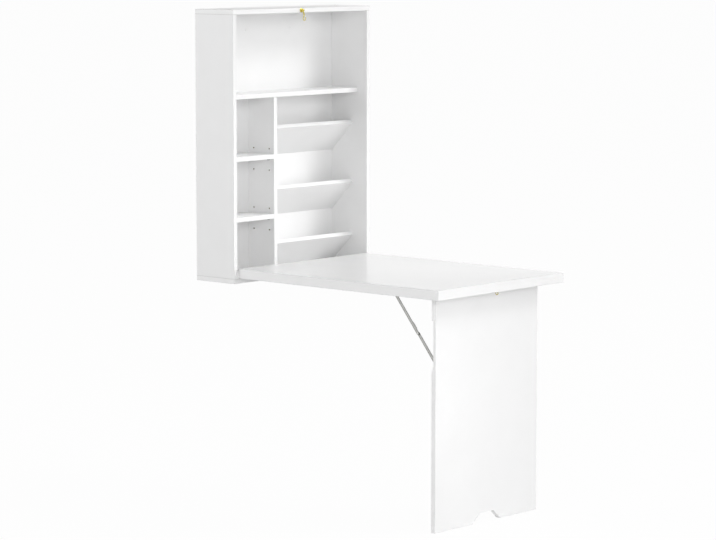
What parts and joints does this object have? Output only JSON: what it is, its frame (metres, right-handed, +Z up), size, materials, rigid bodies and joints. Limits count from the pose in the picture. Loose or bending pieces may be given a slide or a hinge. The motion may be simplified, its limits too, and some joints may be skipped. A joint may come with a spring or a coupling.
{
  "type": "fold down wall desk",
  "caption": "White wall cabinet with shelves and tilted paper racks, whose front folds down into a desktop held by a folding panel leg with steel stays and a brass hook latch.",
  "frame": {"origin": "midway between the two wall screw holes, on the wall plane at the back of the hanging rail", "axes": "+X to the right seen from the front, +Y into the wall, +Z up; the desktop folds out towards -Y"},
  "size_m": [0.634, 0.9795, 1.5435],
  "materials": {
    "white_melamine": "white melamine faced chipboard, satin",
    "white_hardboard": "white lacquered hardboard",
    "zinc_steel": "zinc plated",
    "brass": "polished",
    "white_plastic": "moulded",
    "beech": "raw beech"
  },
  "bodies": {
    "cabinet": {"top_board": "white_melamine", "bottom_board": "white_melamine", "left_side_panel": "white_melamine", "right_side_panel": "white_melamine", "back_panel": "white_hardboard", "hanging_rail": "white_melamine", "full_shelf": "white_melamine", "column_divider": "white_melamine", "upper_cubby_shelf": "white_melamine", "lower_cubby_shelf": "white_melamine", "shelf_pins": "zinc_steel", "upper_rack_panel": "white_melamine", "middle_rack_panel": "white_melamine", "lower_rack_panel": "white_melamine", "rack_dowels": "beech", "carcass_dowels": "beech", "carcass_screws": "zinc_steel", "carcass_screw_caps": "white_plastic", "shelf_dowels": "beech", "shelf_cam_bolts": "zinc_steel", "shelf_cam_locks": "zinc_steel", "divider_dowels": "beech", "rail_dowels": "beech", "desk_hinge_cabinet_leaves": "zinc_steel", "desk_hinge_pins": "zinc_steel", "desk_hinge_cabinet_screws": "zinc_steel", "hook_pivot_screw": "brass"},
    "desktop": {"desk_top_board": "white_melamine", "desk_left_stile": "white_melamine", "desk_right_stile": "white_melamine", "desk_end_rail": "white_melamine", "desk_hinge_rail": "white_melamine", "desk_hinge_desk_leaves": "zinc_steel", "desk_hinge_desk_screws": "zinc_steel", "leg_hinge_desk_leaves": "zinc_steel", "leg_hinge_pins": "zinc_steel", "leg_hinge_desk_screws": "zinc_steel", "stay_desk_brackets": "zinc_steel", "stay_desk_rivets": "zinc_steel", "stay_desk_screws": "zinc_steel", "catch_eye": "brass"},
    "leg": {"leg_panel": "white_melamine", "leg_hinge_leg_leaves": "zinc_steel", "leg_hinge_leg_screws": "zinc_steel", "stay_leg_brackets": "zinc_steel", "stay_leg_rivets": "zinc_steel", "stay_leg_screws": "zinc_steel"},
    "left_stay_upper": {"left_stay_upper_link": "zinc_steel", "left_elbow_rivet_upper": "zinc_steel"},
    "left_stay_lower": {"left_stay_lower_link": "zinc_steel", "left_elbow_rivet_lower": "zinc_steel"},
    "right_stay_upper": {"right_stay_upper_link": "zinc_steel", "right_elbow_rivet_upper": "zinc_steel"},
    "right_stay_lower": {"right_stay_lower_link": "zinc_steel", "right_elbow_rivet_lower": "zinc_steel"},
    "hook": {"latch_hook": "brass"}
  },
  "joints": [
    {"name": "desk_fold", "type": "hinge", "parent": "cabinet", "child": "desktop", "pos_m": [0, -0.164, -0.764], "axis": [-1, 0, 0], "range_deg": [0, 90]},
    {"name": "leg_fold", "type": "hinge", "parent": "desktop", "child": "leg", "pos_m": [0, -0.9055, -0.7505], "axis": [1, 0, 0], "range_deg": [0, 90]},
    {"name": "left_upper_link_turn", "type": "hinge", "parent": "desktop", "child": "left_stay_upper", "pos_m": [-0.2242, -0.7365, -0.754], "axis": [1, 0, 0], "range_deg": [0, 128.69]},
    {"name": "left_lower_link_turn", "type": "hinge", "parent": "leg", "child": "left_stay_lower", "pos_m": [-0.2219, -0.909, -0.9695], "axis": [-1, 0, 0], "range_deg": [0, 141.33]},
    {"name": "right_upper_link_turn", "type": "hinge", "parent": "desktop", "child": "right_stay_upper", "pos_m": [0.2242, -0.7365, -0.754], "axis": [1, 0, 0], "range_deg": [0, 128.69]},
    {"name": "right_lower_link_turn", "type": "hinge", "parent": "leg", "child": "right_stay_lower", "pos_m": [0.2219, -0.909, -0.9695], "axis": [-1, 0, 0], "range_deg": [0, 141.33]},
    {"name": "hook_swing", "type": "hinge", "parent": "cabinet", "child": "hook", "pos_m": [-0.008, -0.171, 0.062], "axis": [0, 1, 0], "range_deg": [0, 110]}
  ],
  "couplings": [
    {"joint": "left_upper_link_turn", "follows": "leg_fold", "ratio": 1.4297},
    {"joint": "right_upper_link_turn", "follows": "leg_fold", "ratio": 1.4297},
    {"joint": "left_lower_link_turn", "follows": "leg_fold", "ratio": 1.5703},
    {"joint": "right_lower_link_turn", "follows": "leg_fold", "ratio": 1.5703}
  ]
}
